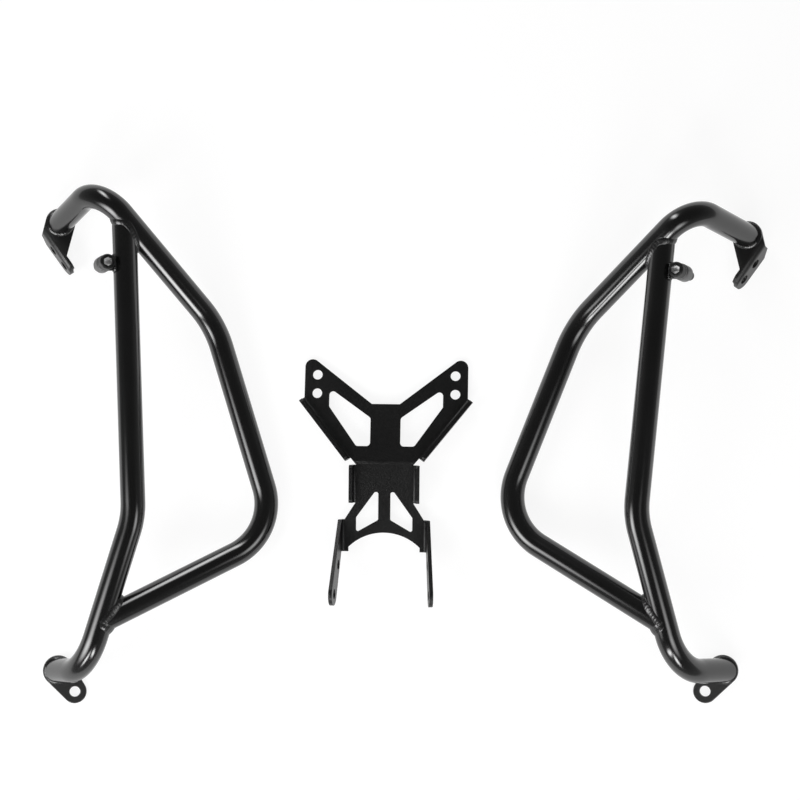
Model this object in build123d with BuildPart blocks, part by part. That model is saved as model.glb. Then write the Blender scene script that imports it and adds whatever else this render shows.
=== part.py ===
from build123d import *
import os
from math import cos, hypot, radians, sin, tan

os.makedirs("parts", exist_ok=True)

# A pair of engine crash bars and their folded centre bracket, laid out on a floor.
# Millimetres. +X runs across the set, +Y from the lower tabs to the upper bends, +Z is up.
# Each bar is modelled as a right-hand one, from its own corners, and the left one is then mirrored.

# Tube stock and bends
tube_diameter = 25.4
tube_wall = 2.5
top_bend_radius = 33.0
apex_bend_radius = 60.0
foot_bend_radius = 50.0
wide_bend = 90.0
cope_gap = 0.2
end_trim = 80.0

# Corners of each bar's centre lines, seen from above: out from the middle plane, along the bar
right_corners = {
    "upper_end": (366.5, 233.2),
    "top_bend": (297.6, 248.6),
    "middle_bend": (188.0, 135.4),
    "apex_bend": (108.5, -70.6),
    "knee_bend": (246.0, -62.6),
    "foot_bend": (289.0, -219.6),
    "lower_end": (343.0, -222.6),
}
left_corners = {
    "upper_end": (367.0, 242.5),
    "top_bend": (307.6, 267.2),
    "middle_bend": (196.5, 132.5),
    "apex_bend": (126.0, -87.6),
    "knee_bend": (267.5, -72.1),
    "foot_bend": (315.0, -231.1),
    "lower_end": (358.0, -237.1),
}

# Heights of the corners above the floor
top_bend_high = 102.0
middle_bend_high = 21.0
apex_bend_high = 10.6
knee_bend_high = 73.0
foot_bend_high = 66.0

# Where the tubes meet, as distances along the run that carries the joint
upright_joint_from_top = 43.5
upright_joint_offset = 2.0
loop_joint_from_knee = 113.0
right_stay_from_joint = 35.1
left_stay_from_joint = 47.5

# Lower tab: a teardrop plate under the tube's lower end, leaning a little inward
tab_plate = 4.5
tab_tilt = 14.0
tab_rim_radius = 15.7
tab_nose_radius = 12.3
tab_hole_diameter = 11.0
tab_hole_reach = 29.0
tab_nose_angle = 51.0

# Upper mount: a plate across the tube's upper end, with one edge folded back into a flange
mount_plate = 4.5
right_mount_tilt = 25.0
right_mount_turn = 14.5
left_mount_tilt = 20.0
left_mount_turn = 12.0
mount_rim_radius = 15.7
mount_bend_offset = 22.0
mount_bend_angle = 52.0
mount_bend_inner_radius = 2.0
flange_depth = 24.0
flange_start = 1.5
flange_first_hole = 19.0
flange_hole_pitch = 20.0
flange_hole_diameter = 10.5
flange_corner_cut = 10.0

# Stay on the upright: a welded plate, a spacer and a cap screw
stay_plate = 4.0
stay_tilt = 27.0
stay_lift = 4.0
stay_width = 16.0
spacer_diameter = 17.0
spacer_length = 16.0
spacer_side_gap = 0.3
spacer_chamfer = 0.8
screw_diameter = 10.0
screw_hole_clearance = 0.5
screw_length = 34.0
screw_head_diameter = 16.0
screw_head_height = 10.0
screw_socket_width = 8.0
screw_socket_depth = 5.0

# Centre bracket: one folded sheet, measured from the fold across its waist
sheet = 4.0
sheet_bend_inner_radius = 3.0
fold_radius = 10.0
bracket_middle_out = -13.0
bracket_fold_along = -11.6
arm_slope = 5.5
arm_half_width = 87.5
arm_edge_angle = 37.7
arm_side_end = 69.0
arm_lip_end_out = 36.5
arm_lip_end_along = 5.0
arm_corner_radius = 8.0
arm_hole_edge = 13.5
arm_hole_along = 74.0
arm_hole_diameter = 10.5
notch_half_width = 15.0
notch_along = 63.0
rib_half_width = 16.0
window_radius = 4.0
arm_window_foot = 17.7
arm_window_heel = 31.0
arm_window_edge = 26.5
arm_window_side_start = 60.0
arm_window_side_end = 80.0
arm_window_shoulder = 48.0
waist_half_width = 30.5
waist_lip_start = 2.0
waist_lip_end = 42.0
post_half_width = 6.4
waist_window_top = 31.0
waist_window_head = 4.0
waist_window_out = 30.0
waist_window_side_start = 58.0
waist_window_side_end = 74.0
waist_window_foot = 60.5
waist_window_radius = 2.0
lip_height = 12.0
lip_corner_radius = 4.0
leg_half_width = 42.0
leg_fold_start = 60.0
leg_fold_end = 94.0
arch_along = 74.0
leg_splay = 7.0
leg_tip_reach = 134.0
leg_tip_height = 34.0
leg_tip_radius = 12.0
leg_hole_diameter = 10.5
leg_hole_reach = 106.0
leg_hole_height = 15.0

# Worked out for both bars
tube_radius = tube_diameter / 2
cope_radius = tube_radius + cope_gap
tab_drop = tab_hole_reach * cos(radians(tab_nose_angle)) + tab_nose_radius
lower_end_high = tab_plate * cos(radians(tab_tilt)) + tab_drop * sin(radians(tab_tilt))
corner_heights = {
    "top_bend": top_bend_high,
    "middle_bend": middle_bend_high,
    "apex_bend": apex_bend_high,
    "knee_bend": knee_bend_high,
    "foot_bend": foot_bend_high,
    "lower_end": lower_end_high,
}
inward = Vector(-1, 0, 0)
outward = Vector(1, 0, 0)
tab_facing = Vector(-sin(radians(tab_tilt)), 0, cos(radians(tab_tilt)))
mount_bend_way = Vector(-cos(radians(mount_bend_angle)), -sin(radians(mount_bend_angle)))
mount_out_way = Vector(sin(radians(mount_bend_angle)), -cos(radians(mount_bend_angle)))
mount_bend_foot = mount_out_way * mount_bend_offset
mount_bend_outer_radius = mount_bend_inner_radius + mount_plate
mount_reach = mount_bend_offset + mount_rim_radius
flange_second_hole = flange_first_hole + flange_hole_pitch
flange_end = flange_second_hole + flange_depth / 2
stay_reach = tube_radius + spacer_diameter / 2 + spacer_side_gap
stay_middle = (stay_reach - stay_width / 2) / 2
stay_lean = Vector(-sin(radians(stay_tilt)), 0, cos(radians(stay_tilt)))
screw_hole_radius = screw_diameter / 2 + screw_hole_clearance


def bent_path(points, bend_radii):
    """Straight runs between the points, each corner rounded by an arc of its bend radius."""
    start = points[0]
    for before, corner, after, radius in zip(points, points[1:], points[2:], bend_radii):
        way_in = (corner - before).normalized()
        way_out = (after - corner).normalized()
        half_turn = radians(way_in.get_angle(way_out)) / 2
        setback = radius * tan(half_turn)
        arc_start = corner - way_in * setback
        arc_end = corner + way_out * setback
        to_centre = (way_out - way_in).normalized()
        arc_middle = corner + to_centre * radius * (1 / cos(half_turn) - 1)
        Line(start, arc_start)
        ThreePointArc(arc_start, arc_middle, arc_end)
        start = arc_end
    Line(start, points[-1])


def across(origin, way, toward):
    """A plane square to a direction, with its x axis as near as it can be to another one."""
    x_way = (toward - way * toward.dot(way)).normalized()
    return Plane(origin=origin, x_dir=x_way, z_dir=way)


def turned(plane, angle):
    """The same plane with its axes turned about its own normal."""
    x_way = plane.x_dir * cos(radians(angle)) + plane.y_dir * sin(radians(angle))
    return Plane(origin=plane.origin, x_dir=x_way, z_dir=plane.z_dir)


def mount_facing_way(tilt, turn):
    """Which way the upper mount's plate faces, tilted inward off level and turned along the bar."""
    lean = sin(radians(tilt))
    return Vector(-lean * cos(radians(turn)), lean * sin(radians(turn)), cos(radians(tilt)))


right_mount_facing = mount_facing_way(right_mount_tilt, right_mount_turn)
left_mount_facing = mount_facing_way(left_mount_tilt, left_mount_turn)
bars = {
    "right": (right_corners, right_mount_facing, right_stay_from_joint),
    "left": (left_corners, left_mount_facing, left_stay_from_joint),
}
for side, (plan, mount_facing, stay_from_joint) in bars.items():
    # The upper end stands as high as its flange, whose edge or round tip rests on the floor
    level_mount = across((0, 0, 0), mount_facing, outward)
    flange_out = level_mount.from_local_coords(mount_out_way)
    flange_along = level_mount.from_local_coords(mount_bend_way)
    flange_root = flange_out.Z * (mount_bend_offset - mount_plate)
    edge_reach = flange_along.Z * (flange_corner_cut - flange_start) - mount_facing.Z * flange_depth
    tip_centre = flange_along.Z * flange_second_hole - mount_facing.Z * flange_depth / 2
    tip_reach = tip_centre - hypot(flange_along.Z, mount_facing.Z) * flange_depth / 2
    corner_heights["upper_end"] = -flange_root - min(edge_reach, tip_reach)

    corner = {name: Vector(*place, corner_heights[name]) for name, place in plan.items()}
    upper_end = corner["upper_end"]
    top_bend = corner["top_bend"]
    middle_bend = corner["middle_bend"]
    apex_bend = corner["apex_bend"]
    knee_bend = corner["knee_bend"]
    foot_bend = corner["foot_bend"]
    lower_end = corner["lower_end"]
    upper_way = (top_bend - upper_end).normalized()
    diagonal_way = (middle_bend - top_bend).normalized()
    shin_way = (foot_bend - knee_bend).normalized()
    lower_way = (foot_bend - lower_end).normalized()
    diagonal_joint = top_bend + diagonal_way * upright_joint_from_top
    loop_joint = knee_bend + shin_way * loop_joint_from_knee
    joint_normal = diagonal_way.cross(knee_bend - diagonal_joint).normalized()
    upright_joint = diagonal_joint - joint_normal * upright_joint_offset
    upright_way = (knee_bend - upright_joint).normalized()
    joint_facing = (upright_way - diagonal_way * upright_way.dot(diagonal_way)).normalized()
    upright_stub = upright_joint - upright_way * tube_diameter
    upper_stub = upper_end - upper_way * tube_diameter
    lower_stub = lower_end - lower_way * tube_diameter
    mount_plane = across(upper_end, mount_facing, outward)
    tab_plane = turned(across(lower_end, tab_facing, inward), tab_nose_angle)

    # Loop tube: upper end, top bend, diagonal, middle bend, apex and the run back to the upright
    with BuildPart() as loop_tube:
        with BuildLine() as loop_line:
            loop_points = [upper_stub, top_bend, middle_bend, apex_bend, loop_joint]
            bent_path(loop_points, [top_bend_radius, wide_bend, apex_bend_radius])
        with BuildSketch(across(upper_stub, upper_way, outward)):
            Circle(tube_radius)
            Circle(tube_radius - tube_wall, mode=Mode.SUBTRACT)
        sweep(path=loop_line.wires()[0])
        with BuildSketch(mount_plane):
            Circle(end_trim)
        extrude(amount=-end_trim, mode=Mode.SUBTRACT)
        with BuildLine() as shin_line:
            bent_path([knee_bend, foot_bend, lower_end], [foot_bend_radius])
        with BuildSketch(across(knee_bend, shin_way, outward)):
            Circle(cope_radius)
        sweep(path=shin_line.wires()[0], mode=Mode.SUBTRACT)

    # Upright tube: coped under the diagonal, bent at the knee and at the foot, mitred on the tab
    with BuildPart() as upright_tube:
        with BuildLine() as upright_line:
            upright_points = [upright_stub, knee_bend, foot_bend, lower_stub]
            bent_path(upright_points, [wide_bend, foot_bend_radius])
        with BuildSketch(across(upright_stub, upright_way, outward)):
            Circle(tube_radius)
            Circle(tube_radius - tube_wall, mode=Mode.SUBTRACT)
        sweep(path=upright_line.wires()[0])
        with BuildSketch(tab_plane):
            Circle(end_trim)
        extrude(amount=-end_trim, mode=Mode.SUBTRACT)
        with BuildSketch(across(diagonal_joint, joint_facing, diagonal_way)):
            Circle(end_trim)
        extrude(amount=-end_trim, mode=Mode.SUBTRACT)
        with BuildLine() as diagonal_line:
            bent_path([upper_end, top_bend, middle_bend], [top_bend_radius])
        with BuildSketch(across(upper_end, upper_way, outward)):
            Circle(cope_radius)
        sweep(path=diagonal_line.wires()[0], mode=Mode.SUBTRACT)

    # Lower tab: rim round the tube's end, nose round the bolt hole
    with BuildPart() as lower_tab:
        with BuildSketch(tab_plane):
            Circle(tab_rim_radius)
            with Locations((tab_hole_reach, 0)):
                Circle(tab_nose_radius)
            make_hull()
            with Locations((tab_hole_reach, 0)):
                Circle(tab_hole_diameter / 2, mode=Mode.SUBTRACT)
        extrude(amount=-tab_plate)

    # Upper mount: one bent plate, trimmed to its outlines seen along the tube and along the flange
    flange_top = mount_bend_foot - mount_bend_way * flange_start
    flange_tip = mount_bend_foot + mount_bend_way * flange_second_hole
    strip_end = mount_bend_foot + mount_bend_way * flange_end
    strip_inset = mount_out_way * mount_bend_outer_radius
    flange_foot = mount_plane.from_local_coords(mount_bend_foot)

    with BuildPart() as upper_mount:
        with BuildSketch(Plane(origin=flange_foot, x_dir=flange_out, z_dir=flange_along)):
            with BuildLine():
                FilletPolyline(
                    (-mount_reach, 0), (0, 0), (0, -flange_depth), radius=mount_bend_outer_radius
                )
                offset(amount=mount_plate, side=Side.RIGHT)
            make_face()
        extrude(amount=flange_end + mount_reach, both=True)
        with BuildSketch(mount_plane):
            Circle(mount_rim_radius)
            with BuildLine():
                Polyline(flange_top, flange_tip, flange_top - mount_out_way, close=True)
            make_face()
            make_hull()
            with BuildLine():
                Polyline(flange_top, strip_end, strip_end - strip_inset, flange_top - strip_inset, close=True)
            make_face()
        extrude(amount=flange_depth, both=True, mode=Mode.INTERSECT)
        with BuildSketch(Plane(origin=flange_foot, x_dir=flange_along, z_dir=flange_out)):
            with BuildLine():
                Line((-flange_start, 0), (flange_second_hole, 0))
                JernArc((flange_second_hole, 0), (1, 0), flange_depth / 2, 180)
                Polyline(
                    (flange_second_hole, flange_depth),
                    (-flange_start + flange_corner_cut, flange_depth),
                    (-flange_start, flange_depth - flange_corner_cut),
                    (-flange_start, mount_plate),
                    (-mount_reach, mount_plate),
                    (-mount_reach, 0),
                    (-flange_start, 0),
                )
            make_face()
            with Locations((flange_first_hole, flange_depth / 2), (flange_second_hole, flange_depth / 2)):
                Circle(flange_hole_diameter / 2, mode=Mode.SUBTRACT)
        extrude(amount=mount_reach * 2, both=True, mode=Mode.INTERSECT)

    # Stay: a plate welded to the upright, holding a spacer by a cap screw
    stay_axis = (stay_lean - upright_way * stay_lean.dot(upright_way)).normalized()
    stay_out = stay_axis.cross(upright_way)
    stay_foot = upright_joint + upright_way * stay_from_joint
    stay_centre = stay_foot + stay_out * stay_reach + stay_axis * stay_lift
    stay_plane = Plane(origin=stay_centre, x_dir=stay_out, z_dir=stay_axis)

    with BuildPart() as stay_tab:
        with BuildSketch(stay_plane):
            SlotCenterPoint((-stay_middle, 0), (0, 0), stay_width)
            Circle(screw_hole_radius, mode=Mode.SUBTRACT)
        extrude(amount=-stay_plate)
        with BuildSketch(across(upright_joint, upright_way, outward)):
            Circle(cope_radius)
        extrude(amount=(knee_bend - upright_joint).length, mode=Mode.SUBTRACT)

    with BuildPart() as spacer:
        with BuildSketch(stay_plane.offset(-stay_plate)):
            Circle(spacer_diameter / 2)
            Circle(screw_hole_radius, mode=Mode.SUBTRACT)
        extrude(amount=-spacer_length)
        chamfer(spacer.edges().filter_by(GeomType.CIRCLE), length=spacer_chamfer)

    with BuildPart() as cap_screw:
        with BuildSketch(stay_plane):
            Circle(screw_head_diameter / 2)
        extrude(amount=screw_head_height)
        with BuildSketch(stay_plane):
            Circle(screw_diameter / 2)
        extrude(amount=-screw_length)
        with BuildSketch(stay_plane.offset(screw_head_height)):
            RegularPolygon(screw_socket_width / 2, 6, major_radius=False)
        extrude(amount=-screw_socket_depth, mode=Mode.SUBTRACT)

    bar_pieces = {
        "loop_tube": loop_tube,
        "upright_tube": upright_tube,
        "lower_tab": lower_tab,
        "upper_mount": upper_mount,
        "stay_tab": stay_tab,
        "spacer": spacer,
        "cap_screw": cap_screw,
    }
    for name, piece in bar_pieces.items():
        finished = piece.part if side == "right" else mirror(piece.part, about=Plane.YZ)
        finished.label = f"{side}_{name}"
        export_step(finished, f"parts/{side}_{name}.step")

# Centre bracket: a bent strip trimmed to the outline seen from above, with lips and legs turned up
arm_hole_out = arm_half_width - arm_hole_edge
arm_window_out = arm_half_width - arm_window_edge
arm_corner_along = notch_along + (arm_half_width - notch_half_width) * tan(radians(arm_edge_angle))
arm_tip_along = arm_corner_along - arm_corner_radius * (
    tan(radians(arm_edge_angle)) + 1 / cos(radians(arm_edge_angle)) - 1
)
fold_height = arm_tip_along * tan(radians(arm_slope))
waist_slope_rise = fold_height / leg_fold_end
sheet_bend_outer_radius = sheet_bend_inner_radius + sheet
bend_lap = 0.5


def on_arm(out, along):
    """A point on the underside of the arms, over a place in the plan."""
    height = fold_height - along * tan(radians(arm_slope))
    return Vector(bracket_middle_out + out, bracket_fold_along + along, height)


def on_waist(out, along):
    """A point on the underside of the waist, over a place in the plan below the fold."""
    height = fold_height - along * waist_slope_rise
    return Vector(bracket_middle_out + out, bracket_fold_along - along, height)


def edge_plane(start, end, normal):
    """A plane square to an edge at its start, x outward from the sheet and y up off it."""
    way = (end - start).normalized()
    return Plane(origin=start, x_dir=normal.cross(way), z_dir=way)


def turned_bend(turn):
    """Section of the bend at a turned-up edge, with a short lap on the flat at each end."""
    with BuildSketch(mode=Mode.PRIVATE) as section:
        with BuildLine():
            lap = Line((-sheet, 0), (0, 0))
            curl = JernArc(lap @ 1, lap % 1, sheet_bend_outer_radius, turn)
            Line(curl @ 1, curl @ 1 + (curl % 1) * bend_lap)
            offset(amount=sheet, side=Side.LEFT)
        make_face()
    return section.sketch


def turned_plane(edge, turn):
    """Outer face of the sheet above a bend, x along the edge, y up from the bend, z inward."""
    rise = edge.x_dir * cos(radians(turn)) + edge.y_dir * sin(radians(turn))
    root = Vector(sin(radians(turn)), 1 - cos(radians(turn))) * sheet_bend_outer_radius
    return Plane(origin=edge.from_local_coords(root), x_dir=edge.z_dir, z_dir=edge.z_dir.cross(rise))


arm_normal = Vector(1, 0, 0).cross(on_arm(0, 1) - on_arm(0, 0)).normalized()
waist_normal = Vector(1, 0, 0).cross(on_waist(0, 0) - on_waist(0, 1)).normalized()
lip_flat = lip_height - sheet_bend_outer_radius
lip_edges = [
    (on_arm(arm_half_width, arm_side_end), on_arm(arm_lip_end_out, arm_lip_end_along), arm_normal),
    (on_waist(waist_half_width, waist_lip_start), on_waist(waist_half_width, waist_lip_end), waist_normal),
]
leg_edge = edge_plane(
    on_waist(leg_half_width, leg_fold_start), on_waist(leg_half_width, leg_fold_end), waist_normal
)
leg_turn = 90 - leg_splay
leg_fold_length = leg_fold_end - leg_fold_start
bracket_middle = Plane.YZ.offset(bracket_middle_out)
bracket_plan = Plane(origin=(bracket_middle_out, bracket_fold_along, -sheet))
plan_depth = fold_height + sheet * 3

with BuildPart() as centre_bracket:
    with BuildSketch(bracket_middle):
        with BuildLine():
            FilletPolyline(
                tuple(on_waist(0, leg_fold_end + sheet))[1:],
                tuple(on_arm(0, 0))[1:],
                tuple(on_arm(0, arm_corner_along))[1:],
                radius=fold_radius,
            )
            offset(amount=sheet, side=Side.LEFT)
        make_face()
    extrude(amount=arm_half_width, both=True)
    with BuildSketch(bracket_plan) as outline:
        with BuildLine():
            Polyline(
                (0, notch_along),
                (notch_half_width, notch_along),
                (arm_half_width, arm_corner_along),
                (arm_half_width, arm_side_end),
                (arm_lip_end_out, arm_lip_end_along),
                (waist_half_width, -waist_lip_start),
                (waist_half_width, -waist_lip_end),
                (leg_half_width, -leg_fold_start),
                (leg_half_width, -leg_fold_end),
            )
            mirror(about=Plane.YZ)
            ThreePointArc(
                (leg_half_width, -leg_fold_end), (0, -arch_along), (-leg_half_width, -leg_fold_end)
            )
        make_face()
        fillet(outline.vertices().sort_by(Axis.Y)[-2:], radius=arm_corner_radius)
    extrude(amount=plan_depth, mode=Mode.INTERSECT)
    with BuildSketch(bracket_plan) as upper_window:
        with BuildLine():
            Polyline(
                (rib_half_width, arm_window_foot),
                (arm_window_heel, arm_window_foot),
                (arm_window_out, arm_window_side_start),
                (arm_window_out, arm_window_side_end),
                (rib_half_width, arm_window_shoulder),
                close=True,
            )
        make_face()
        fillet(upper_window.vertices(), radius=window_radius)
        mirror(about=Plane.YZ)
    extrude(amount=plan_depth, mode=Mode.SUBTRACT)
    with BuildSketch(bracket_plan) as lower_window:
        with BuildLine():
            Polyline(
                (post_half_width, -waist_window_top),
                (post_half_width + waist_window_head, -waist_window_top),
                (waist_window_out, -waist_window_side_start),
                (waist_window_out, -waist_window_side_end),
                (post_half_width, -waist_window_foot),
                close=True,
            )
        make_face()
        fillet(lower_window.vertices(), radius=waist_window_radius)
        mirror(about=Plane.YZ)
    extrude(amount=plan_depth, mode=Mode.SUBTRACT)
    with BuildSketch(bracket_plan):
        with Locations((arm_hole_out, arm_hole_along), (arm_hole_out, arm_hole_along + flange_hole_pitch)):
            Circle(arm_hole_diameter / 2)
        mirror(about=Plane.YZ)
    extrude(amount=plan_depth, mode=Mode.SUBTRACT)
    for lip_start, lip_end, normal in lip_edges:
        lip_edge = edge_plane(lip_start, lip_end, normal)
        lip_length = (lip_end - lip_start).length
        with BuildSketch(lip_edge):
            add(turned_bend(90))
        extrude(amount=lip_length)
        with BuildSketch(turned_plane(lip_edge, 90)) as lip_outline:
            with Locations((lip_length / 2, lip_flat / 2)):
                Rectangle(lip_length, lip_flat)
            fillet(lip_outline.vertices().group_by(Axis.Y)[-1], radius=lip_corner_radius)
        extrude(amount=sheet)
    with BuildSketch(leg_edge):
        add(turned_bend(leg_turn))
    extrude(amount=leg_fold_length)
    with BuildSketch(turned_plane(leg_edge, leg_turn)):
        with Locations((leg_fold_length / 2, bend_lap / 2)):
            Rectangle(leg_fold_length, bend_lap)
        with Locations((leg_tip_reach - leg_fold_start, leg_tip_height)):
            Circle(leg_tip_radius)
        make_hull()
        with Locations(
            (leg_tip_reach - leg_fold_start, leg_tip_height),
            (leg_hole_reach - leg_fold_start, leg_hole_height),
        ):
            Circle(leg_hole_diameter / 2, mode=Mode.SUBTRACT)
    extrude(amount=sheet)
    mirror(about=bracket_middle)

centre_bracket.part.label = "centre_bracket"
export_step(centre_bracket.part, "parts/centre_bracket.step")
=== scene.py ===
import bpy
import bmesh
import numpy as np
from mathutils import Matrix, Vector


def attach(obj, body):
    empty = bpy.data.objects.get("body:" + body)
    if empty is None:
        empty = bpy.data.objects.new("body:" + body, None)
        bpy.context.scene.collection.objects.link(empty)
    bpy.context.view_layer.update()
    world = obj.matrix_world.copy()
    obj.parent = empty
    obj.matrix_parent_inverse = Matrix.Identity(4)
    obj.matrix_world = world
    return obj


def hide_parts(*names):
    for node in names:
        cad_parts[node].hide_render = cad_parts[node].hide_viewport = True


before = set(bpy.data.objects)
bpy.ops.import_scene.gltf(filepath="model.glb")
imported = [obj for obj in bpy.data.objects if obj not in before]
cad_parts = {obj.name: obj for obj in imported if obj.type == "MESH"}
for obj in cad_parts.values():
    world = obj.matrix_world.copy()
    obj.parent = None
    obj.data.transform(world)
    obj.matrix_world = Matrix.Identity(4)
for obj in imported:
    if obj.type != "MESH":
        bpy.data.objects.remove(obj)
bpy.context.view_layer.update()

# The set lies on the floor: +X from the left bar to the right bar, +Y from the lower tabs to the top
# bends. Sizes are millimetres, as on a drawing, and MM turns them into the frame's metres.
MM = 0.001

# Tube stock, bends and joints of both bars
TUBE_RADIUS = 12.7
TUBE_WALL = 2.5
TOP_BEND = 33.0
APEX_BEND = 60.0
FOOT_BEND = 50.0
WIDE_BEND = 90.0
UPRIGHT_FROM_TOP = 43.5
UPRIGHT_UNDER_LOOP = 2.0
LOOP_FROM_KNEE = 113.0
TAB_LEAN = 14.0
PLATE_RIM = 15.7
RIM_MARGIN = 0.4
TUBE_COLUMNS = 72

# Stay: plate, spacer and cap screw beside the upright
STAY_LEAN = 27.0
STAY_LIFT = 4.0
STAY_PLATE = 4.0
STAY_WIDTH = 16.0
SPACER_RADIUS = 8.5
SPACER_BORE = 5.5
SPACER_LENGTH = 16.0
SPACER_GAP = 0.3
SPACER_SOFT = 0.9
SPACER_COLUMNS = 64
HEAD_RADIUS = 8.0
HEAD_HEIGHT = 10.0
HEAD_LIFT = 0.05
SHANK_RADIUS = 5.0
SHANK_LENGTH = 34.0
TIP_CHAMFER = 1.0
SOCKET_WIDTH = 8.0
SOCKET_DEPTH = 5.0
SOCKET_POINT = 1.2
SOCKET_ROWS = (1, 2, 3, 4)
KNURL_ROWS = (8, 9)
KNURL_COUNT = 44
KNURL_DEPTH = 0.34
SCREW_COLUMNS = 264
SCREW_SHARP = 35.0

# Welds: legs, then the crown, its swell and its ripples as shares of the leg
TOP_WELD_LEG = 3.4
SHIN_WELD_LEG = 4.2
PLATE_WELD_LEG = 2.4
WELD_CROWN = 0.10
WELD_SWELL = 0.3
WELD_RIPPLE = 0.042
WELD_PITCH = 3.4
WELD_SINK = 0.04
WELD_ROOT = 1.3
WELD_ROWS = 480
WELD_COLUMNS = 11
STAY_BEAD = 1.5
BEAD_PITCH = 2.0
BEAD_ROWS = 260
BEAD_COLUMNS = 12
WELD_SHARP = 70.0

# Plates: the round on their edges, and the angles that count as flat and as an edge
EDGE_ROUND = 0.7
FLAT_ANGLE = 0.5
EDGE_ANGLE = 40.0

# Heights of the corners of both bars' centre lines; the end plates stand on the floor
CORNER_HIGH = {"top": 102.0, "middle": 21.0, "apex": 10.6, "knee": 73.0, "foot": 66.0, "lower_end": 11.757}

# Each bar's own sizes, and its corners seen from above: out from the middle, along
BARS = {
    "right": {
        "sign": 1.0, "stay_from_joint": 35.1, "mount_lean": 25.0, "mount_turn": 14.5,
        "upper_end_high": 21.257,
        "corners": {
            "upper_end": (366.5, 233.2), "top": (297.6, 248.6), "middle": (188.0, 135.4),
            "apex": (108.5, -70.6), "knee": (246.0, -62.6), "foot": (289.0, -219.6),
            "lower_end": (343.0, -222.6),
        },
    },
    "left": {
        "sign": -1.0, "stay_from_joint": 47.5, "mount_lean": 20.0, "mount_turn": 12.0,
        "upper_end_high": 22.965,
        "corners": {
            "upper_end": (367.0, 242.5), "top": (307.6, 267.2), "middle": (196.5, 132.5),
            "apex": (126.0, -87.6), "knee": (267.5, -72.1), "foot": (315.0, -231.1),
            "lower_end": (358.0, -237.1),
        },
    },
}


def unit(v):
    """Vectors divided by their own lengths."""
    return v / np.linalg.norm(v, axis=-1, keepdims=True)


def square_to(way, toward):
    """The part of one direction that is square to another, at unit length."""
    return unit(toward - way * np.sum(toward * way, -1, keepdims=True))


class BentLine:
    """A tube's centre line: straight runs, each corner replaced by an arc tangent to both runs.

    places, ways and sides are arrays along it: points, unit tangents, and a unit normal that turns with
    the arcs and never twists. first and last are the lengths of the two end runs.
    """

    def __init__(self, points, radii, run_step=7.0, arc_step=2.5):
        side = square_to(unit(points[1] - points[0]), np.array([0.0, 0.0, 1.0]))
        places, ways, sides, runs = [], [], [], []
        start = points[0]
        for k in range(1, len(points)):
            is_last = k == len(points) - 1
            way = unit(points[k] - points[k - 1])
            stop = points[k]
            if not is_last:
                radius = radii[k - 1]
                onward = unit(points[k + 1] - points[k])
                turn = np.arccos(np.clip(way @ onward, -1, 1))
                stop = points[k] - way * radius * np.tan(turn / 2)
            runs.append(np.linalg.norm(stop - start))
            t = np.linspace(0, runs[-1], max(2, int(runs[-1] / run_step)), endpoint=is_last)[:, None]
            places.append(start + way * t)
            ways.append(way + 0 * t)
            sides.append(side + 0 * t)
            if not is_last:
                inward = square_to(way, onward)
                axis = np.cross(way, inward)
                centre = stop + inward * radius
                a = np.linspace(0, turn, max(3, int(radius * turn / arc_step)))[:, None]
                arc = centre + radius * (way * np.sin(a) - inward * np.cos(a))
                # the normal swings about the arc's axis: its part along the axis stays
                along = axis * (side @ axis)
                swung = along + (side - along) * np.cos(a) + np.cross(axis, side - along) * np.sin(a)
                places.append(arc[:-1])
                ways.append((way * np.cos(a) + inward * np.sin(a))[:-1])
                sides.append(swung[:-1])
                side, start = swung[-1], arc[-1]
        self.places, self.ways, self.sides = np.vstack(places), np.vstack(ways), np.vstack(sides)
        self.first, self.last = runs[0], runs[-1]

    def nearest(self, points):
        """The nearest place on the line to each point, with the line taken as short chords."""
        a, b = self.places[:-1], self.places[1:]
        chord = b - a
        gap = points[..., None, :] - a
        t = np.clip(np.sum(gap * chord, -1) / np.sum(chord * chord, -1), 0, 1)[..., None]
        reach = np.linalg.norm(gap - t * chord, axis=-1)
        pick = np.argmin(reach, -1)[..., None, None]
        return np.take_along_axis(a + t * chord, pick, -2)[..., 0, :]


class TubeSkin:
    """The outside of a bent tube: the points one tube radius from its centre line."""

    def __init__(self, line):
        self.line = line

    def normal(self, points):
        return unit(points - self.line.nearest(points))

    def settle(self, points, depth):
        foot = self.line.nearest(points)
        return foot + unit(points - foot) * (TUBE_RADIUS - depth)


class PlateSkin:
    """The face of an end plate, out to a rim round the tube's own centre."""

    def __init__(self, centre, facing):
        self.centre, self.facing = centre, facing

    def normal(self, points):
        return np.broadcast_to(self.facing, points.shape)

    def settle(self, points, depth):
        flat = points - self.centre
        flat = flat - self.facing * (flat @ self.facing)[..., None]
        reach = np.linalg.norm(flat, axis=-1, keepdims=True)
        return self.centre + flat * np.minimum(1, (PLATE_RIM - RIM_MARGIN) / reach) - self.facing * depth


def plane_cut(place, normal):
    """A cut that stops each generator of a tube where it meets a plane."""
    def reach(starts, way):
        return ((place - starts) @ normal) / (way @ normal)
    return reach


def saddle_cut(line, centre, facing, farthest=26.0, steps=60, stride=0.9):
    """A cope: each generator comes back from outside the neighbour tube until it touches its skin.

    A generator that passes under the neighbour stops level with the neighbour's centre line.
    """
    level = plane_cut(centre, facing)

    def reach(starts, way):
        t = np.full(starts.shape[:-1], farthest)
        lowest = level(starts, way)
        for _ in range(steps):
            points = starts + t[..., None] * way
            gap = np.linalg.norm(points - line.nearest(points), axis=-1) - TUBE_RADIUS
            t = np.maximum(t - gap * stride, lowest)
        return t
    return reach


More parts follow.
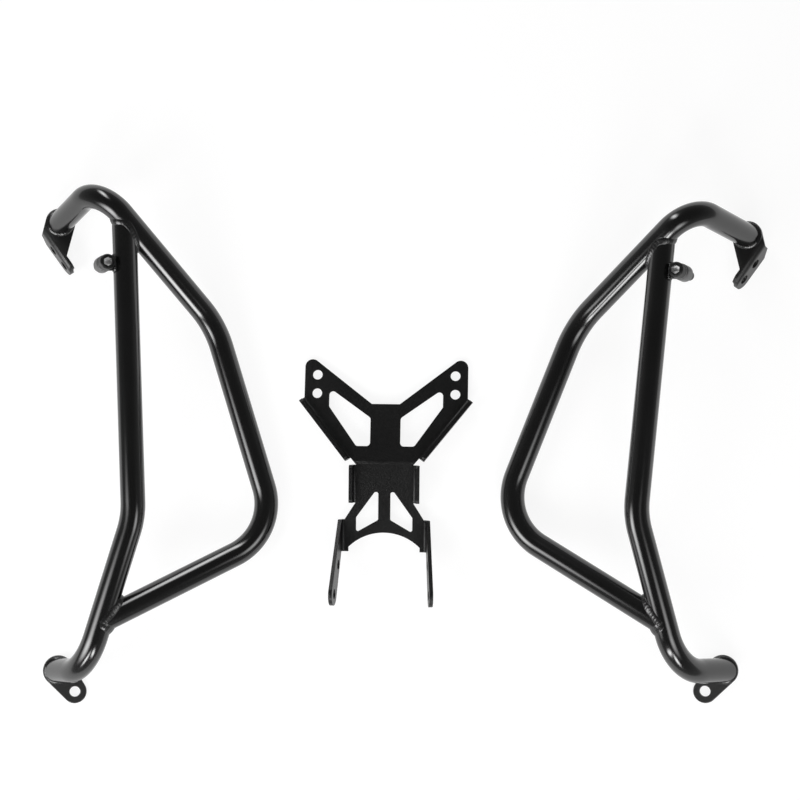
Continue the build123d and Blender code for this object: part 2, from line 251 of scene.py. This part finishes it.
def tube_rings(line, radius, start_cut, end_cut):
    """Rings of a tube: point(s, a) = centre(s) + radius (cos a side(s) + sin a other(s)).

    The first and last straight runs are stretched along each generator, so that their ends lie on the
    cuts.
    """
    a = np.linspace(0, 2 * np.pi, TUBE_COLUMNS, endpoint=False)[None, :, None]
    other = np.cross(line.ways, line.sides)
    rings = line.places[:, None] + radius * (np.cos(a) * line.sides[:, None] + np.sin(a) * other[:, None])
    for cut, end, run in ((start_cut, 0, line.first), (end_cut, -1, line.last)):
        way = line.ways[end] * (1 if end == 0 else -1)
        from_end = (line.places - line.places[end]) @ way
        off_run = np.linalg.norm(line.places - line.places[end] - from_end[:, None] * way, axis=1)
        on_run = (off_run < 1e-3) & (from_end <= run + 1e-6)
        share = np.where(on_run, np.clip(1 - from_end / run, 0, 1), 0.0)
        rings = rings + share[:, None, None] * cut(rings[end], way)[None, :, None] * way
    return rings


def hollow_tube(line, start_cut, end_cut):
    """A tube's outside from one cut to the other and its inside back again, as one closed grid."""
    outside = tube_rings(line, TUBE_RADIUS, start_cut, end_cut)
    inside = tube_rings(line, TUBE_RADIUS - TUBE_WALL, start_cut, end_cut)
    return np.concatenate([outside, inside[::-1]])


def even_loop(curve, count, blur=2.5, reach=8):
    """A closed curve sampled again at even steps of its length and smoothed by a bell of a few steps."""
    loop = np.vstack([curve, curve[:1]])
    s = np.concatenate([[0], np.cumsum(np.linalg.norm(np.diff(loop, axis=0), axis=1))])
    at = np.linspace(0, s[-1], count, endpoint=False)
    line = np.stack([np.interp(at, s, loop[:, k]) for k in range(3)], 1)
    bell = np.exp(-0.5 * (np.arange(-reach, reach + 1) / blur) ** 2)
    wrapped = np.concatenate([line[-reach:], line, line[:reach]])
    line = np.stack([np.convolve(wrapped[:, k], bell / bell.sum(), "valid") for k in range(3)], 1)
    return line, unit(np.roll(line, -1, 0) - np.roll(line, 1, 0)), s[-1]


def ripples(u, q, length, pitch, seed):
    """Overlapping weld ripples: once in each pitch a swell that leans back towards the bead's toes."""
    count = max(8, round(length / pitch))
    phase = u * count - 0.55 * (2 * q - 1) ** 2 + seed
    saw = phase - np.floor(phase)
    return np.sin(np.pi * saw ** 0.75)


def uneven(u, seed):
    """A slow wave round a closed bead, two tones of it, for a hand-made width."""
    return 0.07 * np.sin(2 * np.pi * (3 * u + seed)) + 0.05 * np.sin(2 * np.pi * (7 * u + 2.3 * seed))


def fillet_weld(seam, first, second, leg, seed):
    """A fillet weld: a low arch carried along the seam between two skins.

    At each place on the seam the arch starts one leg away along the first skin and ends one leg away along
    the second; point(u, q) = start + q (end - start) + 4 q (1 - q) rise(u, q) outward, and rise carries the
    ripples. Two more points behind the seam close the section inside the metal.
    """
    line, way, length = even_loop(seam, WELD_ROWS)
    u = np.linspace(0, 1, len(line), endpoint=False)[:, None]
    ends, normals = [], []
    for skin, other in ((first, second), (second, first)):
        normal = skin.normal(line)
        off = np.cross(way, normal)
        off = off * np.sign(np.sum(off * other.normal(line)))
        ends.append(skin.settle(line + off * leg * (1 + uneven(u, seed)), WELD_SINK))
        normals.append(normal)
    q = np.linspace(0, 1, WELD_COLUMNS)[None, :]
    outward = unit(normals[0] + normals[1])[:, None]
    swell = WELD_SWELL * uneven(u, seed + 0.4)
    rise = leg * (WELD_CROWN + swell + WELD_RIPPLE * ripples(u, q, length, WELD_PITCH, seed))
    arch = ends[0][:, None] + q[..., None] * (ends[1] - ends[0])[:, None]
    arch = arch + (4 * q * (1 - q) * rise)[..., None] * outward
    behind = np.stack([ends[1] - normals[1] * WELD_ROOT, ends[0] - normals[0] * WELD_ROOT], 1)
    return np.concatenate([arch, behind], 1)


def round_bead(curve, size, seed):
    """A small bead: a circle carried along a closed line, its radius swelling with the ripples."""
    line, way, length = even_loop(curve, BEAD_ROWS)
    first = square_to(way, line - line.mean(0))
    second = np.cross(way, first)
    u = np.linspace(0, 1, len(line), endpoint=False)[:, None]
    w = np.linspace(0, 2 * np.pi, BEAD_COLUMNS, endpoint=False)[None, :]
    radius = size * (0.9 + 0.12 * ripples(u, 0.5 + 0 * w, length, BEAD_PITCH, seed) + uneven(u, seed))
    spoke = np.cos(w)[..., None] * first[:, None] + np.sin(w)[..., None] * second[:, None]
    return line[:, None] + radius[..., None] * spoke


def turned_profile(rows, centre, axis, side, columns, shape=None):
    """A profile of (radius, height) rows turned about an axis; shape(radius, angle) changes the radii."""
    a = np.linspace(0, 2 * np.pi, columns, endpoint=False)
    radius, height = np.array(rows).T[:, :, None]
    radius = radius + 0 * a
    if shape is not None:
        radius = shape(radius, a)
    spoke = np.cos(a)[:, None] * side + np.sin(a)[:, None] * np.cross(axis, side)
    return centre + radius[..., None] * spoke + height[..., None] * axis


def make_piece(name, grid, sign, finish, closed_rows=True, sharp=40.0):
    """A mesh from a grid of points in millimetres: quads join neighbours, and a closed way its two ends.

    sign puts the bar on its own side. Faces look outward: all turn round where the volume is negative.
    """
    points = grid * np.array([sign, 1.0, 1.0]) * MM
    rows, columns = points.shape[:2]
    index = np.arange(rows * columns).reshape(rows, columns)
    index = np.hstack([index, index[:, :1]])
    if closed_rows:
        index = np.vstack([index, index[:1]])
    quads = np.stack([index[:-1, :-1], index[:-1, 1:], index[1:, 1:], index[1:, :-1]], -1).reshape(-1, 4)
    p = points.reshape(-1, 3)
    corner = p[quads]
    volume = np.sum(np.cross(corner[:, 0], corner[:, 1]) * corner[:, 2])
    volume += np.sum(np.cross(corner[:, 0], corner[:, 2]) * corner[:, 3])
    if volume < 0:
        quads = quads[:, ::-1]
    mesh = bpy.data.meshes.new(name)
    mesh.from_pydata(p.tolist(), [], quads.tolist())
    work = bmesh.new()
    work.from_mesh(mesh)
    bmesh.ops.remove_doubles(work, verts=work.verts, dist=1e-7)
    work.to_mesh(mesh)
    work.free()
    mesh.polygons.foreach_set("use_smooth", np.ones(len(mesh.polygons), bool))
    mesh.set_sharp_from_angle(angle=np.radians(sharp))
    mesh.materials.append(finish)
    piece = bpy.data.objects.new(name, mesh)
    bpy.context.scene.collection.objects.link(piece)
    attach(piece, "root")
    return piece


class Value:
    """A shader socket; arithmetic on it adds Math nodes to its tree."""

    def __init__(self, nodes, socket):
        self.nodes = nodes
        self.socket = socket

    def math(self, operation, a, b):
        return self.nodes.node("ShaderNodeMath", {"operation": operation}, {0: a, 1: b})

    def __add__(self, other):
        return self.math("ADD", self, other)

    def __radd__(self, other):
        return self.math("ADD", other, self)

    def __sub__(self, other):
        return self.math("SUBTRACT", self, other)

    def __rsub__(self, other):
        return self.math("SUBTRACT", other, self)

    def __mul__(self, other):
        return self.math("MULTIPLY", self, other)

    def __rmul__(self, other):
        return self.math("MULTIPLY", other, self)


class Nodes:
    """The nodes of one material, of one lamp or of the world."""

    def __init__(self, tree):
        self.tree = tree

    def node(self, kind, settings=None, sockets=None, output=0):
        """Any node: its settings are set first, then its sockets get values or links; gives one output."""
        node = self.tree.nodes.new(kind)
        for key, value in (settings or {}).items():
            setattr(node, key, value)
        self.fill(node, sockets or {})
        return Value(self, node.outputs[output]) if len(node.outputs) else node

    def fill(self, node, sockets):
        for key, value in sockets.items():
            if isinstance(value, Value):
                self.tree.links.new(value.socket, node.inputs[key])
            else:
                node.inputs[key].default_value = value


class Finish(Nodes):
    """One material of a piece: a Principled shader and what feeds it."""

    def __init__(self, name):
        self.material = bpy.data.materials.new(name)
        self.material.use_nodes = True
        super().__init__(self.material.node_tree)
        self.shader = next(n for n in self.tree.nodes if n.type == "BSDF_PRINCIPLED")
        self.place = self.node("ShaderNodeTexCoord", output="Object")

    def noise(self, scale, detail, roughness):
        """Cloudy noise, with the scale in waves to a metre."""
        return self.node("ShaderNodeTexNoise", None,
                         {"Vector": self.place, "Scale": scale, "Detail": detail, "Roughness": roughness})

    def stretch(self, value, low, high):
        """The value stretched from low..high to 0..1 and held there."""
        return self.node("ShaderNodeMapRange", {"clamp": True},
                         {"Value": value, "From Min": low, "From Max": high})

    def blend(self, share, first, second):
        """The first colour where the share is 0 and the second where it is 1."""
        return self.node("ShaderNodeMix", {"data_type": "RGBA"}, {0: share, 6: first, 7: second}, output=2)

    def bump(self, height, distance, strength):
        """A normal tilted by a height, with the distance in metres."""
        return self.node("ShaderNodeBump", None,
                         {"Height": height, "Distance": distance, "Strength": strength})

    def done(self, **sockets):
        """Fills the shader's sockets, named with _ for a space, and gives the material."""
        self.fill(self.shader, {key.replace("_", " "): value for key, value in sockets.items()})
        return self.material


def grey(level):
    """A grey colour with full alpha."""
    return (level, level, level, 1.0)


def black_coat(name, dull, peel_height):
    """Black powder coat: orange peel, a slow change of gloss and a fine grain; dull is the roughness."""
    f = Finish(name)
    peel = f.noise(scale=260.0, detail=1.0, roughness=0.4)
    grain = f.noise(scale=2600.0, detail=1.0, roughness=0.5)
    cloud = f.noise(scale=16.0, detail=3.0, roughness=0.55)
    return f.done(
        Base_Color=f.blend(f.stretch(cloud, 0.3, 0.7), grey(0.0030), grey(0.0045)),
        Roughness=dull + 0.03 * f.stretch(cloud, 0.25, 0.75) + 0.02 * grain,
        Normal=f.bump(peel * 0.9 + grain * 0.1, peel_height, 0.5),
        IOR=1.7,
    )


def bracket_coat():
    """Matt black powder coat with a fine sandy grain."""
    f = Finish("fine_textured_black_coat")
    grain = f.noise(scale=1500.0, detail=2.0, roughness=0.6)
    lumps = f.noise(scale=520.0, detail=1.0, roughness=0.5)
    cloud = f.noise(scale=22.0, detail=3.0, roughness=0.55)
    return f.done(
        Base_Color=f.blend(f.stretch(grain, 0.35, 0.7), grey(0.0012), grey(0.006)),
        Roughness=0.30 + 0.08 * f.stretch(cloud, 0.25, 0.75) + 0.06 * grain,
        Normal=f.bump(grain * 0.5 + lumps * 0.5, 0.0006, 0.5),
        IOR=1.45,
    )


def spacer_metal():
    """Dark satin plated steel with fine turning marks."""
    f = Finish("dark_satin_steel")
    cloud = f.noise(scale=160.0, detail=3.0, roughness=0.55)
    marks = f.noise(scale=2400.0, detail=2.0, roughness=0.6)
    return f.done(
        Base_Color=f.blend(f.stretch(cloud, 0.3, 0.7), grey(0.10), grey(0.16)),
        Metallic=0.9 + 0.1 * cloud,
        Roughness=0.36 + 0.12 * marks,
        Normal=f.bump(marks, 0.00005, 0.3),
    )


def screw_steel():
    """Black oxide steel, a little lighter where handling has rubbed it."""
    f = Finish("black_oxide_steel")
    cloud = f.noise(scale=320.0, detail=3.0, roughness=0.6)
    grain = f.noise(scale=3000.0, detail=1.0, roughness=0.5)
    return f.done(
        Base_Color=f.blend(f.stretch(cloud, 0.45, 0.75), grey(0.020), grey(0.06)),
        Metallic=0.75 + 0.2 * cloud,
        Roughness=0.34 + 0.14 * grain,
        Normal=f.bump(grain, 0.00004, 0.3),
    )


def socket_steel():
    """Bare bright steel inside a socket, where the key has worn the finish off."""
    f = Finish("bare_socket_steel")
    cloud = f.noise(scale=420.0, detail=3.0, roughness=0.6)
    return f.done(
        Base_Color=f.blend(f.stretch(cloud, 0.35, 0.7), grey(0.50), grey(0.72)),
        Metallic=0.9 + 0.1 * cloud,
        Roughness=0.38 + 0.14 * cloud,
    )


coat = black_coat("semi_gloss_black_coat", dull=0.13, peel_height=0.0000025)
weld_coat = black_coat("weld_black_coat", dull=0.24, peel_height=0.0000025)
plate_coat = black_coat("satin_black_coat", dull=0.36, peel_height=0.00004)
sheet_coat = bracket_coat()
plated = spacer_metal()
oxide = screw_steel()
worn = socket_steel()


def leaning(lean, turn=0.0):
    """The way a plate faces: off upright by its lean, to the set's middle, then turned along the bar."""
    lean, turn = np.radians([lean, turn])
    return np.array([-np.sin(lean) * np.cos(turn), np.sin(lean) * np.sin(turn), np.cos(lean)])


def spacer_rows():
    """A sleeve's closed profile, (radius, height) from the stay plate's top: two walls and rounded rims."""
    arc = np.linspace(0, np.pi / 2, 5)
    rise, run = SPACER_SOFT * np.sin(arc), SPACER_SOFT * np.cos(arc)
    low, high = -STAY_PLATE - SPACER_LENGTH + SPACER_SOFT, -STAY_PLATE - SPACER_SOFT
    inner, outer = SPACER_BORE + SPACER_SOFT, SPACER_RADIUS - SPACER_SOFT
    return np.concatenate([
        np.stack([outer + run, high + rise], 1), np.stack([inner - rise, high + run], 1),
        np.stack([inner - run, low - rise], 1), np.stack([outer + rise, low - run], 1),
    ])


def screw_rows():
    """A socket screw's profile, (radius, height) from the stay plate's top: socket, head, shank and tip."""
    socket, bottom = SOCKET_WIDTH / 2, HEAD_HEIGHT - SOCKET_DEPTH
    return [
        (0.0, bottom - SOCKET_POINT), (socket * 0.97, bottom), (socket, bottom + 0.15),
        (socket, HEAD_HEIGHT - 0.4), (socket + 0.35, HEAD_HEIGHT), (HEAD_RADIUS - 1.6, HEAD_HEIGHT),
        (HEAD_RADIUS - 1.0, HEAD_HEIGHT - 0.15), (HEAD_RADIUS - 0.25, HEAD_HEIGHT - 0.9),
        (HEAD_RADIUS, HEAD_HEIGHT - 1.3), (HEAD_RADIUS, 1.1), (HEAD_RADIUS - 0.2, 0.4),
        (HEAD_RADIUS - 0.6, HEAD_LIFT), (SHANK_RADIUS, HEAD_LIFT),
        (SHANK_RADIUS, TIP_CHAMFER - SHANK_LENGTH), (SHANK_RADIUS - TIP_CHAMFER, -SHANK_LENGTH),
        (0.0, -SHANK_LENGTH),
    ]


def hex_and_knurl(radius, a):
    """A screw's radii: a hexagon on the socket's rows, and fine ridges on the rows of the head's side.

    A hexagon's wall lies at its flat's radius over the cosine of the angle from that flat's middle.
    """
    rows = np.arange(len(radius))[:, None]
    wedge = np.pi / 3
    flat = 1 / np.cos((a + wedge / 2) % wedge - wedge / 2)
    ridge = np.abs(((a * KNURL_COUNT / (2 * np.pi)) % 1) - 0.5) * 2
    radius = radius * np.where(np.isin(rows, SOCKET_ROWS), flat, 1.0)
    return radius - np.where(np.isin(rows, KNURL_ROWS), KNURL_DEPTH * ridge ** 0.8, 0.0)


def bare_socket(screw, sign, centre, axis):
    """Bare steel on the faces inside the socket: near the axis, from the socket's point to its rim."""
    screw.data.materials.append(worn)
    middles = np.empty(len(screw.data.polygons) * 3, np.float32)
    screw.data.polygons.foreach_get("center", middles)
    away = middles.reshape(-1, 3) / MM * np.array([sign, 1.0, 1.0]) - centre
    high = away @ axis
    off_axis = np.linalg.norm(away - high[:, None] * axis, axis=1)
    below_rim = (high > HEAD_HEIGHT - SOCKET_DEPTH - SOCKET_POINT - 0.3) & (high < HEAD_HEIGHT - 0.3)
    inside = below_rim & (off_axis < SOCKET_WIDTH / 2 * 1.16)
    screw.data.polygons.foreach_set("material_index", inside.astype(np.int32))


def stay_root(foot, way, axis, out):
    """The line round a stay plate's root, on the upright's skin.

    It is a circle squared off by raising the sizes of its cosine and sine to powers below 1; one goes along
    the upright, the other across the plate, and the tube's own circle gives the third.
    """
    a = np.linspace(0, 2 * np.pi, 160, endpoint=False)
    along = np.abs(np.cos(a)) ** 0.35 * np.sign(np.cos(a)) * (STAY_WIDTH / 2 + 0.2)
    lift = np.abs(np.sin(a)) ** 0.6 * np.sign(np.sin(a)) * (STAY_PLATE / 2 + 0.5)
    lift = lift + STAY_LIFT - STAY_PLATE / 2
    skin_out = np.sqrt(TUBE_RADIUS ** 2 - lift ** 2)
    return foot + np.stack([along, lift, skin_out], 1) @ np.stack([way, axis, out])


for side, bar in BARS.items():
    sign = bar["sign"]
    heights = {**CORNER_HIGH, "upper_end": bar["upper_end_high"]}
    at = {name: np.array([*place, heights[name]]) for name, place in bar["corners"].items()}
    diagonal_way = unit(at["middle"] - at["top"])
    on_diagonal = at["top"] + diagonal_way * UPRIGHT_FROM_TOP
    shin_way = unit(at["foot"] - at["knee"])
    loop_end = at["knee"] + shin_way * LOOP_FROM_KNEE
    loop_way = unit(loop_end - at["apex"])
    joint = on_diagonal - unit(np.cross(diagonal_way, at["knee"] - on_diagonal)) * UPRIGHT_UNDER_LOOP
    upright_way = unit(at["knee"] - joint)
    mount_facing = leaning(bar["mount_lean"], bar["mount_turn"])
    tab_facing = leaning(TAB_LEAN)

    # tubes, from plate to saddle cut
    loop_line = BentLine([at[name] for name in ("upper_end", "top", "middle", "apex")] + [loop_end],
                         [TOP_BEND, WIDE_BEND, APEX_BEND])
    upright_line = BentLine([joint, at["knee"], at["foot"], at["lower_end"]], [WIDE_BEND, FOOT_BEND])
    mount_cut = plane_cut(at["upper_end"], mount_facing)
    tab_cut = plane_cut(at["lower_end"], tab_facing)
    shin_cut = saddle_cut(upright_line, loop_end, square_to(shin_way, loop_way))
    top_cut = saddle_cut(loop_line, on_diagonal, square_to(diagonal_way, upright_way))
    loop_grid = hollow_tube(loop_line, mount_cut, shin_cut)
    upright_grid = hollow_tube(upright_line, top_cut, tab_cut)
    loop_tube = make_piece(f"{side}_loop_skin", loop_grid, sign, coat)
    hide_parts(f"{side}_loop_tube")
    upright_tube = make_piece(f"{side}_upright_skin", upright_grid, sign, coat)
    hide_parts(f"{side}_upright_tube")

    # welds, one round each end of each tube
    loop_skin, upright_skin = TubeSkin(loop_line), TubeSkin(upright_line)
    mount_skin, tab_skin = PlateSkin(at["upper_end"], mount_facing), PlateSkin(at["lower_end"], tab_facing)
    loop_foot = loop_grid[len(loop_line.places) - 1]
    upright_foot = upright_grid[len(upright_line.places) - 1]
    welds = {
        "top_weld": (upright_grid[0], upright_skin, loop_skin, TOP_WELD_LEG),
        "shin_weld": (loop_foot, loop_skin, upright_skin, SHIN_WELD_LEG),
        "tab_weld": (upright_foot, upright_skin, tab_skin, PLATE_WELD_LEG),
        "mount_weld": (loop_grid[0], loop_skin, mount_skin, PLATE_WELD_LEG),
    }
    for k, (name, joined) in enumerate(welds.items()):
        bead = fillet_weld(*joined, seed=0.37 * k + 0.11 * sign)
        make_piece(f"{side}_{name}", bead, sign, weld_coat, sharp=WELD_SHARP)

    # stay: the sleeve and the screw stand on one axis beside the upright
    stay_axis = square_to(upright_way, leaning(STAY_LEAN))
    stay_out = np.cross(stay_axis, upright_way)
    stay_foot = joint + upright_way * bar["stay_from_joint"]
    stay_reach = TUBE_RADIUS + SPACER_RADIUS + SPACER_GAP
    stay_centre = stay_foot + stay_out * stay_reach + stay_axis * STAY_LIFT
    sleeve = turned_profile(spacer_rows(), stay_centre, stay_axis, stay_out, SPACER_COLUMNS)
    spacer = make_piece(f"{side}_spacer_sleeve", sleeve, sign, plated)
    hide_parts(f"{side}_spacer")
    body = turned_profile(screw_rows(), stay_centre, stay_axis, stay_out, SCREW_COLUMNS, hex_and_knurl)
    screw = make_piece(f"{side}_socket_screw", body, sign, oxide, closed_rows=False,
                       sharp=SCREW_SHARP)
    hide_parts(f"{side}_cap_screw")
    bare_socket(screw, sign, stay_centre, stay_axis)
    root = round_bead(stay_root(stay_foot, upright_way, stay_axis, stay_out), STAY_BEAD, seed=0.2 * sign)
    make_piece(f"{side}_stay_weld", root, sign, weld_coat, sharp=WELD_SHARP)

# Plates keep their own solids: edges eased by a small round, as powder coat leaves them
for name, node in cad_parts.items():
    if node.hide_render:
        continue
    join = node.modifiers.new("join", "WELD")
    join.merge_threshold = 1e-6
    flats = node.modifiers.new("flats", "DECIMATE")
    flats.decimate_type = "DISSOLVE"
    flats.angle_limit = np.radians(FLAT_ANGLE)
    ease = node.modifiers.new("eased_edges", "BEVEL")
    ease.limit_method = "ANGLE"
    ease.angle_limit = np.radians(EDGE_ANGLE)
    ease.width = EDGE_ROUND * MM
    ease.segments = 2
    node.data.materials.clear()
    node.data.materials.append(sheet_coat if name == "centre_bracket" else plate_coat)

scene = bpy.context.scene
scene.view_settings.view_transform = "Standard"

# Studio: sizes in metres, and a strength of 1 is white
FLOOR_HALF = 40.0
FLOOR_LEVEL = -0.0003
FLOOR_SHADE = 0.8
FLOOR_WHITE_SHARE = 0.8
FLOOR_WHITE = 1.1
ROOM_LEVEL = 0.075
ROOM_HORIZON = 0.25

# How far a softbox's bell of light reaches, in its own spreads
SOFTBOX_REACH = 2.1

# Softboxes: azimuth, elevation and roll in degrees, distance, spread, brightness
SOFTBOXES = {
    "left_softbox": (-154, 36, 90, 1.1, (0.22, 0.17), 9.0),
    "foot_softbox": (-109, 35, 52, 3.9, (0.20, 0.07), 15.0),
    "foot_right_softbox": (-76, 33, -77, 2.5, (0.13, 0.09), 15.0),
    "right_softbox": (-32, 46, 79, 0.9, (0.18, 0.14), 4.5),
    "head_softbox": (111, 32, 93, 1.6, (0.22, 0.08), 10.0),
}


def seen_share(nodes, share):
    """A share for rays from the camera, from gloss and through clear things, and nothing for the rest."""
    by_eye, by_gloss, through = (
        nodes.node("ShaderNodeLightPath", output=f"Is {kind} Ray")
        for kind in ("Camera", "Glossy", "Transmission")
    )
    return (by_eye + by_gloss + through) * share


def pale_floor():
    """Pale diffuse floor, mixed with even white for what sees or mirrors it; the rest keeps the shadows."""
    material = bpy.data.materials.new("pale_floor")
    material.use_nodes = True
    material.node_tree.nodes.clear()
    nodes = Nodes(material.node_tree)
    diffuse = nodes.node("ShaderNodeBsdfDiffuse", None, {"Color": grey(FLOOR_SHADE)})
    glow = nodes.node("ShaderNodeEmission", None, {"Color": grey(1.0), "Strength": FLOOR_WHITE})
    share = seen_share(nodes, FLOOR_WHITE_SHARE)
    both = nodes.node("ShaderNodeMixShader", None, {0: share, 1: diffuse, 2: glow})
    nodes.node("ShaderNodeOutputMaterial", None, {"Surface": both})
    return material


def lay_floor():
    """One wide square, just under what stands on it."""
    signs = ((-1, -1), (1, -1), (1, 1), (-1, 1))
    corners = [(x * FLOOR_HALF, y * FLOOR_HALF, FLOOR_LEVEL) for x, y in signs]
    mesh = bpy.data.meshes.new("floor")
    mesh.from_pydata(corners, [], [(0, 1, 2, 3)])
    mesh.materials.append(pale_floor())
    floor = bpy.data.objects.new("floor", mesh)
    scene.collection.objects.link(floor)


def light_room():
    """The world: dim for the object, lighter towards the horizon, and white where the camera looks at it."""
    world = bpy.data.worlds.new("studio")
    scene.world = world
    world.use_nodes = True
    world.node_tree.nodes.clear()
    room = Nodes(world.node_tree)
    seen = room.node("ShaderNodeLightPath", output="Is Camera Ray")
    way = room.node("ShaderNodeTexCoord", output="Generated")
    height = room.node("ShaderNodeSeparateXYZ", None, {0: way}, output="Z")
    level = 1.0 - room.node("ShaderNodeClamp", None, {"Value": height})
    dim = ROOM_LEVEL + ROOM_HORIZON * level * level
    strength = dim + (1.0 - dim) * seen
    backdrop = room.node("ShaderNodeBackground", None, {"Color": grey(1.0), "Strength": strength})
    room.node("ShaderNodeOutputWorld", None, {"Surface": backdrop})


def softbox(name, azimuth, elevation, roll, distance, spread, brightness):
    """A studio light that faces the set and fades from its middle like a bell.

    spread is the bell's half width and half height as tangents of angles seen from the set's middle, and
    brightness is the light's power over pi and its area. The light's own two parameters run from 0 to 1
    across it; its strength is (1 - r r)(1 - r r), with r from 0 at its middle to 1 at its edge.
    """
    azimuth, elevation, roll = np.radians([azimuth, elevation, roll])
    flat_way = np.array([np.cos(azimuth), np.sin(azimuth), 0.0])
    away = np.cos(elevation) * flat_way + np.array([0.0, 0.0, np.sin(elevation)])
    level_side = unit(np.cross([0.0, 0.0, 1.0], away))
    first = level_side * np.cos(roll) + np.cross(away, level_side) * np.sin(roll)
    lamp = bpy.data.lights.new(name, "AREA")
    lamp.shape = "RECTANGLE"
    lamp.size, lamp.size_y = (2 * SOFTBOX_REACH * distance * half for half in spread)
    lamp.energy = brightness * np.pi * lamp.size * lamp.size_y
    lamp.use_nodes = True
    lamp.node_tree.nodes.clear()
    nodes = Nodes(lamp.node_tree)
    place = nodes.node("ShaderNodeNewGeometry", output="Parametric")
    apart = nodes.node("ShaderNodeVectorMath", {"operation": "DISTANCE"}, {0: place, 1: (0.5, 0.5, 0.0)},
                       output="Value")
    fade = nodes.node("ShaderNodeClamp", None, {"Value": 1.0 - 4.0 * apart * apart})
    glow = nodes.node("ShaderNodeEmission", None, {"Color": grey(1.0), "Strength": fade * fade})
    nodes.node("ShaderNodeOutputLight", None, {"Surface": glow})
    box = bpy.data.objects.new(name, lamp)
    turn = Matrix((first, np.cross(away, first), away)).transposed().to_4x4()
    box.matrix_world = Matrix.Translation(away * distance) @ turn
    box.visible_camera = False
    scene.collection.objects.link(box)


lay_floor()
light_room()
for name, setting in SOFTBOXES.items():
    softbox(name, *setting)

# Camera: nearly straight above the set, fitted to the photograph
TARGET = Vector((0.0037, 0.0537, 0.040))
DISTANCE = 1.6
AZIMUTH, ELEVATION, ROLL = np.radians([3.0, -4.0, 0.87])
LENS = 68.76
SENSOR = 36.0
level_reach = np.cos(ELEVATION)
toward = Vector((np.sin(AZIMUTH) * level_reach, np.sin(ELEVATION), np.cos(AZIMUTH) * level_reach))
level_x = Vector((0, 1, 0)).cross(toward).normalized()
level_y = toward.cross(level_x)
right = level_x * np.cos(ROLL) + level_y * np.sin(ROLL)
up = level_y * np.cos(ROLL) - level_x * np.sin(ROLL)
camera_data = bpy.data.cameras.new("camera")
camera_data.lens = LENS
camera_data.sensor_width = SENSOR
camera = bpy.data.objects.new("camera", camera_data)
camera_turn = Matrix((right, up, toward)).transposed().to_4x4()
camera.matrix_world = Matrix.Translation(TARGET + toward * DISTANCE) @ camera_turn
scene.collection.objects.link(camera)
scene.camera = camera
